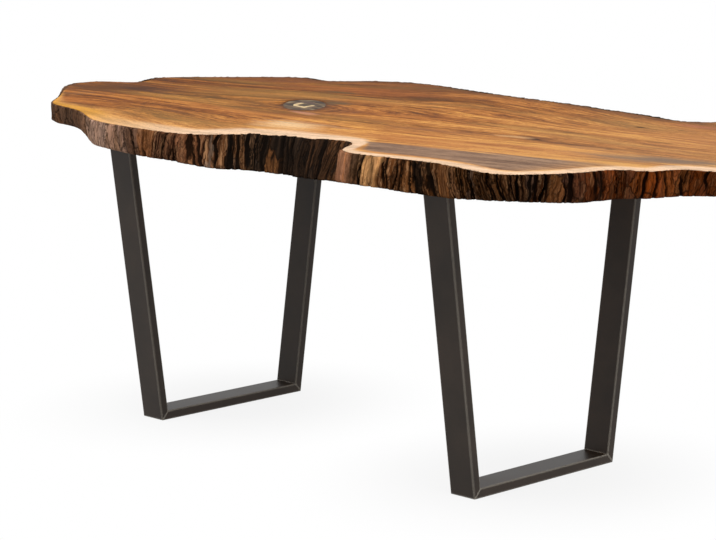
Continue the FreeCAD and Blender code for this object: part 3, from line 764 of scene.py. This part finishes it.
# How lively the bark's pale and grey chips are: share of the way round, then a grey. Least in the hollow.
BARK_LIFE = (
    (0.0, "#c8c8c8"), (0.14, "#e0e0e0"), (0.205, "#f0f0f0"), (0.215, "#404040"), (0.245, "#505050"),
    (0.262, "#a0a0a0"), (0.272, "#ffffff"), (0.30, "#e8e8e8"), (0.36, "#d8d8d8"), (0.385, "#909090"),
    (0.48, "#909090"), (0.52, "#e0e0e0"), (1.0, "#c8c8c8"),
)
# Single flakes and cracks: share of the way round, half width in shares, colour, strength.
# The near-black cracks are painted shade, and the thin grey streak at 0.1922 is a painted highlight.
BARK_MARKS = (
    (0.1922, 0.0003, "#7a6656", 0.50),
    (0.2000, 0.0014, "#0d0805", 0.95),
    (0.2765, 0.0048, "#8d6146", 0.70),
    (0.2790, 0.0005, "#8a5530", 0.50),
    (0.2835, 0.0022, "#46301f", 0.75),
    (0.2880, 0.0015, "#0d0805", 0.95),
    (0.2925, 0.0036, "#b98756", 0.85),
    (0.3120, 0.0012, "#0d0805", 0.85),
    (0.3240, 0.0030, "#5e3a20", 0.60),
    (0.1640, 0.0040, "#7f4f2c", 0.60),
)


def bark_scales(tree, fibre):
    """Scales of bark 28 mm by 90 mm and chips 9 mm by 42 mm, with borders made crooked by noise 14 mm across.

    Gives the scales' seams and three random numbers a scale, then the same of the chips.
    """
    crooked = put(tree, "TexNoise", {"Vector": fibre, "Scale": 70.0, "Detail": 2.0}).outputs["Color"]
    crooked = put(tree, "VectorMath", {0: crooked, 1: (0.014, 0.014, 0.020), 2: fibre},
                  operation="MULTIPLY_ADD")
    parts = []
    for scale, wide, narrow in (((36.0, 36.0, 11.0), 0.055, 0.012), ((110.0, 110.0, 24.0), 0.09, 0.02)):
        cells = put(tree, "Mapping", {"Vector": crooked, "Scale": scale})
        seam = put(tree, "TexVoronoi", {"Vector": cells, "Scale": 1.0}, feature="DISTANCE_TO_EDGE")
        seam = put(tree, "MapRange", {"Value": seam, "From Min": wide, "From Max": narrow})
        tint = put(tree, "TexVoronoi", {"Vector": cells, "Scale": 1.0}).outputs["Color"]
        parts += [seam, put(tree, "SeparateXYZ", {0: tint}).outputs]
    return parts


def bark_finish():
    """Sealed dry bark.

    To the eye: upright fibres and flakes in every brown, nearly black in the cracks, tan where fresh.
    """
    material, tree, shader = new_material("sealed_bark")
    crack, flake, around = [put(tree, "Attribute", attribute_name=name).outputs["Fac"]
                            for name in ("crack", "flake", "around")]
    fibre = put(tree, "Attribute", attribute_name="fibre").outputs["Vector"]
    # The ground colour changes along the edge, with borders shaken by noise 33 mm by 71 mm.
    shaken = streaks(tree, fibre, (30.0, 30.0, 14.0), 3.0)
    shifted = put(tree, "Math", {0: shaken, 1: 0.010, 2: around}, operation="MULTIPLY_ADD")
    shifted = put(tree, "Math", {0: shifted, 1: -0.005}, operation="ADD")
    ground = put(tree, "ValToRGB", {0: shifted})
    set_stops(ground, BARK_GROUND)
    lively = put(tree, "ValToRGB", {0: shifted})
    set_stops(lively, BARK_LIFE)
    # Fibres 2 mm and 7 mm across and ten to twenty times as long, upright.
    fine = streaks(tree, fibre, (480.0, 480.0, 26.0), 3.0, 0.6)
    coarse = streaks(tree, fibre, (150.0, 150.0, 14.0), 3.0, 0.6)
    seam, scale_tint, split, chip_tint = bark_scales(tree, fibre)
    # Light and shade of fibres, flakes, scales and chips as one factor about 1, 0.20 at least.
    light = -0.65
    for part, share in ((fine, 1.3), (coarse, 1.6), (flake, 0.55), (scale_tint[0], 0.55),
                        (chip_tint[0], 0.45)):
        light = put(tree, "Math", {0: part, 1: share, 2: light}, operation="MULTIPLY_ADD")
    light = put(tree, "Math", {0: light, 1: -0.60}, operation="ADD")
    light = put(tree, "Math", {0: light, 1: 0.20}, operation="MAXIMUM")
    tone = put(tree, "Mix", {0: 1.0, 6: ground, 7: light}, **TINT)
    # Some scales are orange-brown, some grey with lichen.
    rusty = put(tree, "MapRange", {"Value": scale_tint[1], "From Min": 0.70, "From Max": 0.95,
                                   "To Max": 0.50})
    rusty = put(tree, "Math", {0: rusty, 1: coarse}, operation="MULTIPLY")
    tone = put(tree, "Mix", {0: rusty, 6: tone, 7: linear("#9a6236")}, **OVER)
    grey = put(tree, "MapRange", {"Value": scale_tint[2], "From Min": 0.76, "From Max": 0.98, "To Max": 0.45})
    grey = put(tree, "Math", {0: grey, 1: fine}, operation="MULTIPLY")
    grey = put(tree, "Math", {0: grey, 1: lively}, operation="MULTIPLY")
    tone = put(tree, "Mix", {0: grey, 6: tone, 7: linear("#8a786c")}, **OVER)
    # Paler tan where a chip is thin and fresh, and a thin pale lip beside each crack, a painted highlight on
    # the crack's edge.
    fresh = put(tree, "Math", {0: chip_tint[1], 1: coarse}, operation="MULTIPLY")
    fresh = put(tree, "MapRange", {"Value": fresh, "From Min": 0.40, "From Max": 0.56, "To Max": 0.55})
    fresh = put(tree, "Math", {0: fresh, 1: lively}, operation="MULTIPLY")
    tone = put(tree, "Mix", {0: fresh, 6: tone, 7: linear("#a27954")}, **OVER)
    rise = put(tree, "MapRange", {"Value": crack, "From Min": 0.01, "From Max": 0.06})
    fall = put(tree, "MapRange", {"Value": crack, "From Min": 0.16, "From Max": 0.07, "To Max": 0.40})
    lip = put(tree, "Math", {0: rise, 1: fall}, operation="MULTIPLY")
    lip = put(tree, "Math", {0: lip, 1: lively}, operation="MULTIPLY")
    tone = put(tree, "Mix", {0: lip, 6: tone, 7: linear("#8e694b")}, **OVER)
    # Cracks and seams are filled with dust and shade.
    seam = put(tree, "Math", {0: seam, 1: 0.75}, operation="MULTIPLY")
    split = put(tree, "Math", {0: split, 1: 0.45}, operation="MULTIPLY")
    deep = put(tree, "MapRange", {"Value": crack, "From Min": 0.10, "From Max": 0.45, "To Max": 0.94})
    dark = put(tree, "Math", {0: seam, 1: split}, operation="MAXIMUM")
    dark = put(tree, "Math", {0: dark, 1: deep}, operation="MAXIMUM")
    tone = put(tree, "Mix", {0: dark, 6: tone, 7: linear("#080402")}, **OVER)
    # Single flakes and cracks: pale flakes in their own colour, near-black cracks of painted shade and one
    # thin streak of painted highlight.
    for centre, reach, code, strength in BARK_MARKS:
        off = put(tree, "Math", {0: shifted, 1: -centre}, operation="ADD")
        off = put(tree, "Math", {0: off}, operation="ABSOLUTE")
        off = put(tree, "MapRange", {"Value": off, "From Min": 1.3 * reach, "From Max": 0.7 * reach,
                                     "To Max": strength})
        mark = put(tree, "Mix", {0: 1.0, 6: linear(code), 7: light}, **TINT)
        tone = put(tree, "Mix", {0: off, 6: tone, 7: mark}, **OVER)
    grain = put(tree, "Math", {0: fine, 1: coarse}, operation="ADD")
    grain = put(tree, "Math", {0: dark, 1: -0.9, 2: grain}, operation="MULTIPLY_ADD")
    grain = put(tree, "Math", {0: chip_tint[0], 1: 0.5, 2: grain}, operation="MULTIPLY_ADD")
    bump = put(tree, "Bump", {"Height": grain, "Strength": 0.9, "Distance": 0.0022})
    feed(tree, shader, {"Base Color": tone, "Roughness": 0.8, "Specular IOR Level": 0.012, "Normal": bump})
    return material


def coat_finish():
    """Satin powder coat in dark bronze.

    To the eye: orange peel 3 mm apart, flecks 1 mm across, coarser than real ones so that they show, a
    tone that shifts over 110 mm, and paler rounded corners, a painted highlight.
    """
    material, tree, shader = new_material("powder_coat_bronze")
    place = put(tree, "TexCoord").outputs["Object"]
    cloud = put(tree, "TexNoise", {"Vector": place, "Scale": 9.0, "Detail": 3.0})
    tone = put(tree, "ValToRGB", {0: cloud})
    set_stops(tone, ((0.35, "#261e17"), (0.65, "#322820")))
    fleck = put(tree, "TexNoise", {"Vector": place, "Scale": 900.0, "Detail": 1.0})
    bright = put(tree, "MapRange", {"Value": fleck, "From Min": 0.3, "From Max": 0.7,
                                    "To Min": 0.85, "To Max": 1.15})
    colour = put(tree, "Mix", {0: 1.0, 6: tone, 7: bright}, **TINT)
    # A corner is where the normal, rounded over 4 mm, departs from the face's own. The paler tone laid on
    # corners is a painted highlight.
    rounded = put(tree, "Bevel", {"Radius": 0.004}, samples=4)
    facing = put(tree, "NewGeometry").outputs["Normal"]
    corner = put(tree, "VectorMath", {0: rounded, 1: facing}, operation="DOT_PRODUCT").outputs["Value"]
    colour = shade_over(tree, colour, "#a39d92", corner, 0.996, 0.94, 0.80)
    gloss = put(tree, "MapRange", {"Value": cloud, "To Min": 0.36, "To Max": 0.46})
    peel = put(tree, "TexNoise", {"Vector": place, "Scale": 380.0, "Detail": 2.0})
    bump = put(tree, "Bump", {"Height": peel, "Strength": 0.25, "Distance": 0.0002})
    feed(tree, shader, {"Base Color": colour, "Roughness": gloss, "Specular IOR Level": 0.20, "Normal": bump})
    return material


def resin_finish():
    """Cast resin in the knot.

    To the eye: smoky brown-black with olive and amber veils, 17 mm by 60 mm, turned with the knot.
    """
    material, tree, shader = new_material("cast_knot_resin")
    place = put(tree, "TexCoord").outputs["Object"]
    bent = put(tree, "TexNoise", {"Vector": place, "Scale": 14.0, "Detail": 2.0}).outputs["Color"]
    bent = put(tree, "VectorMath", {0: bent, 1: (0.05, 0.05, 0.0), 2: place}, operation="MULTIPLY_ADD")
    veil = put(tree, "Mapping", {"Vector": bent, "Rotation": (0, 0, math.radians(-KNOT_TURN)),
                                 "Scale": (16.0, 60.0, 16.0)})
    veil = put(tree, "TexNoise", {"Vector": veil, "Scale": 1.0, "Detail": 4.0, "Roughness": 0.6})
    tone = put(tree, "ValToRGB", {0: veil})
    set_stops(tone, ((0.36, "#20160d"), (0.48, "#3b2918"), (0.56, "#5c4630"), (0.64, "#7b6a4c"),
                     (0.74, "#8a8062")))
    # Faint ripples 17 mm apart, left by hand polishing.
    ripple = put(tree, "TexNoise", {"Vector": place, "Scale": 60.0, "Detail": 1.0})
    bump = put(tree, "Bump", {"Height": ripple, "Strength": 0.05, "Distance": 0.0005})
    feed(tree, shader, {"Base Color": tone, "Roughness": 0.45, "Specular IOR Level": 0.015, "Normal": bump})
    return material


def heart_finish():
    """Sanded heart of the knot.

    To the eye: a cream, angular figure of sound wood round dark, cracked pith, with a purplish-brown rim.
    The figure runs where |u| + |v| of the heart's own coordinates, plus half of a noise 30 mm across, is
    between 0.8 and 1.1.
    """
    material, tree, shader = new_material("sanded_knot_heart")
    place = put(tree, "TexCoord").outputs["Object"]
    middle = tuple(map(float, middle_of(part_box("knot_heart"))))
    centred = put(tree, "Mapping", {"Vector": place, "Location": middle, "Scale": (0.070, 0.037, 1.0),
                                    "Rotation": (0, 0, math.radians(KNOT_TURN))}, vector_type="TEXTURE")
    wobble = put(tree, "TexNoise", {"Vector": place, "Scale": 34.0, "Detail": 3.0})
    reach = put(tree, "VectorMath", {0: centred}, operation="ABSOLUTE")
    reach = put(tree, "VectorMath", {0: reach, 1: (1.0, 1.0, 0.0)}, operation="DOT_PRODUCT").outputs["Value"]
    reach = put(tree, "Math", {0: wobble, 1: 0.5, 2: reach}, operation="MULTIPLY_ADD")
    tone = put(tree, "ValToRGB", {0: reach})
    set_stops(tone, ((0.50, "#3a2c1b"), (0.72, "#54422a"), (0.82, "#b89c6e"), (1.0, "#dcc290")))
    # Drying checks, cells 8 mm by 2 mm.
    checks = streaks(tree, centred, (9.0, 16.0, 1.0), 3.0)
    colour = shade_over(tree, tone, "#5b4330", checks, 0.56, 0.68, 0.7)
    # The cream figure is open on one side.
    side = put(tree, "VectorMath", {0: centred, 1: (0.7, -0.7, 0.0)}, operation="DOT_PRODUCT")
    side = side.outputs["Value"]
    colour = shade_over(tree, colour, "#3d2c1c", side, 0.22, 0.42)
    # Purplish-brown rim.
    colour = shade_over(tree, colour, "#4b3226", reach, 1.04, 1.16, 0.9)
    bump = put(tree, "Bump", {"Height": checks, "Strength": 0.2, "Distance": 0.0004})
    feed(tree, shader, {"Base Color": colour, "Roughness": 0.5, "Specular IOR Level": 0.04, "Normal": bump})
    return material


def metal_finish(name, dull, bright, roughness):
    """Plated or plain turned metal of the fasteners.

    To the eye: mottled between two tones in spots 5 mm across, with turning marks 0.3 mm apart.
    """
    material, tree, shader = new_material(name)
    place = put(tree, "TexCoord").outputs["Object"]
    mottle = put(tree, "TexNoise", {"Vector": place, "Scale": 220.0, "Detail": 3.0})
    tone = put(tree, "ValToRGB", {0: mottle})
    set_stops(tone, ((0.35, dull), (0.65, bright)))
    matt = put(tree, "MapRange", {"Value": mottle, "To Min": roughness - 0.08, "To Max": roughness + 0.12})
    marks = streaks(tree, place, (200.0, 200.0, 3000.0), 1.0)
    bump = put(tree, "Bump", {"Height": marks, "Strength": 0.15, "Distance": 0.0001})
    feed(tree, shader, {"Base Color": tone, "Metallic": 1.0, "Roughness": matt, "Normal": bump})
    return material


# ---------------------------------------------------------------- build

bark = make_bark()
wood = make_wood()
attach(bark, "root")
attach(wood, "root")
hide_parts("bark_edge")
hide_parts("tabletop_slab")
wear(bark, bark_finish())
wear(wood, slab_finish())
coat = coat_finish()
zinc = metal_finish("zinc_plated_steel", "#9fa3a8", "#c6c9cc", 0.34)
brass = metal_finish("plain_brass", "#a5803a", "#d2ac5c", 0.30)
finishes = {"knot_resin": resin_finish(), "knot_heart": heart_finish(), "plate_bolts": zinc,
            "plate_washers": zinc, "threaded_inserts": brass}
for name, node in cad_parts.items():
    if name.startswith(("left_", "right_")):
        wear(node, coat)
    elif name in finishes:
        wear(node, finishes[name])


# ---------------------------------------------------------------- stage

def shown_white(tree):
    """1 for the rays that show the white surroundings: camera, glossy and transmission."""
    rays = put(tree, "LightPath").outputs
    seen = rays["Is Camera Ray"]
    for ray in ("Is Glossy Ray", "Is Transmission Ray"):
        seen = put(tree, "Math", {0: seen, 1: rays[ray]}, operation="MAXIMUM")
    return seen


def make_floor():
    """Pale floor, 40 m square: white to the eye, with a soft shadow that is deepest round the feet.

    The share of white is 0.87 by a leg frame and 1 from about 0.5 m off it; what is left is lit and shaded.
    The lower share greys the floor by the feet even where it is lit: painted shade on top of the real shadow.
    """
    half = 20.0
    mesh = bpy.data.meshes.new("floor")
    mesh.from_pydata([(-half, -half, 0), (half, -half, 0), (half, half, 0), (-half, half, 0)], [],
                     [(0, 1, 2, 3)])
    floor = bpy.data.objects.new("floor", mesh)
    bpy.context.scene.collection.objects.link(floor)
    material, tree, shader = new_material("studio_floor")
    feed(tree, shader, {"Base Color": linear("#b4b4b4"), "Roughness": 0.9, "Specular IOR Level": 0.0})
    place = put(tree, "TexCoord").outputs["Object"]
    near = []
    for side in ("left", "right"):
        leg_x, leg_y, _ = map(float, middle_of(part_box(side + "_foot_bar")))
        near.append(off_middle(tree, place, (leg_x, leg_y, 0.0), 0.5, 0.6))
    near = put(tree, "Math", {0: near[0], 1: near[1]}, operation="MINIMUM")
    # Painted shade: less white, so a greyer floor, round each leg frame's feet.
    share = put(tree, "MapRange", {"Value": near, "From Min": 0.15, "From Max": 1.05,
                                   "To Min": 0.87, "To Max": 1.0}, interpolation_type="SMOOTHSTEP")
    share = put(tree, "Math", {0: shown_white(tree), 1: share}, operation="MULTIPLY")
    glow = put(tree, "Emission", {"Color": (1, 1, 1, 1), "Strength": 1.0})
    both = put(tree, "MixShader", {0: share, 1: shader, 2: glow})
    feed(tree, tree.nodes["Material Output"], {"Surface": both})
    wear(floor, material)


def make_sky():
    """White world: 0.60 as light on the table, 1 where it is seen."""
    world = bpy.data.worlds.new("studio")
    bpy.context.scene.world = world
    world.use_nodes = True
    tree = world.node_tree
    level = put(tree, "MapRange", {"Value": shown_white(tree), "To Min": 0.60, "To Max": 1.0})
    feed(tree, tree.nodes["Background"], {"Color": (1, 1, 1, 1), "Strength": level})


def lamp(name, place, target, size, power):
    """Soft square lamp, its size in metres and its power in watts, facing a target.

    Its z axis points from the target to its place, and its x axis stays level.
    """
    data = bpy.data.lights.new(name, "AREA")
    data.size = size
    data.energy = power
    body = bpy.data.objects.new(name, data)
    bpy.context.scene.collection.objects.link(body)
    z = np.array(place, float) - np.array(target, float)
    z /= np.linalg.norm(z)
    x = np.cross((0, 0, 1), z)
    x /= np.linalg.norm(x)
    y = np.cross(z, x)
    turn = Matrix((x.tolist(), y.tolist(), z.tolist())).transposed()
    body.matrix_world = Matrix.Translation(place) @ turn.to_4x4()


def make_camera():
    """Camera 1.4 m up and 5 m off the near right corner, looking across the table and a little down."""
    heading, down, roll = 0.786445, 0.173771, 0.001894      # radians
    camera = bpy.data.objects.new("camera", bpy.data.cameras.new("camera"))
    bpy.context.scene.collection.objects.link(camera)
    camera.data.sensor_width = 36.0
    camera.data.lens = 125.7
    camera.data.clip_end = 60.0
    camera.matrix_world = (Matrix.Translation((3.9162, -4.0509, 1.3955)) @ Matrix.Rotation(heading, 4, "Z")
                           @ Matrix.Rotation(math.pi / 2 - down, 4, "X") @ Matrix.Rotation(roll, 4, "Z"))
    bpy.context.scene.camera = camera


make_floor()
make_sky()
lamp("key", (-1.0, -2.6, 5.0), (0, 0, 0.6), 3.0, 215)
lamp("fill", (4.5, -1.0, 2.4), (0, 0, 0.5), 3.0, 130)
make_camera()
bpy.context.scene.view_settings.view_transform = "Standard"
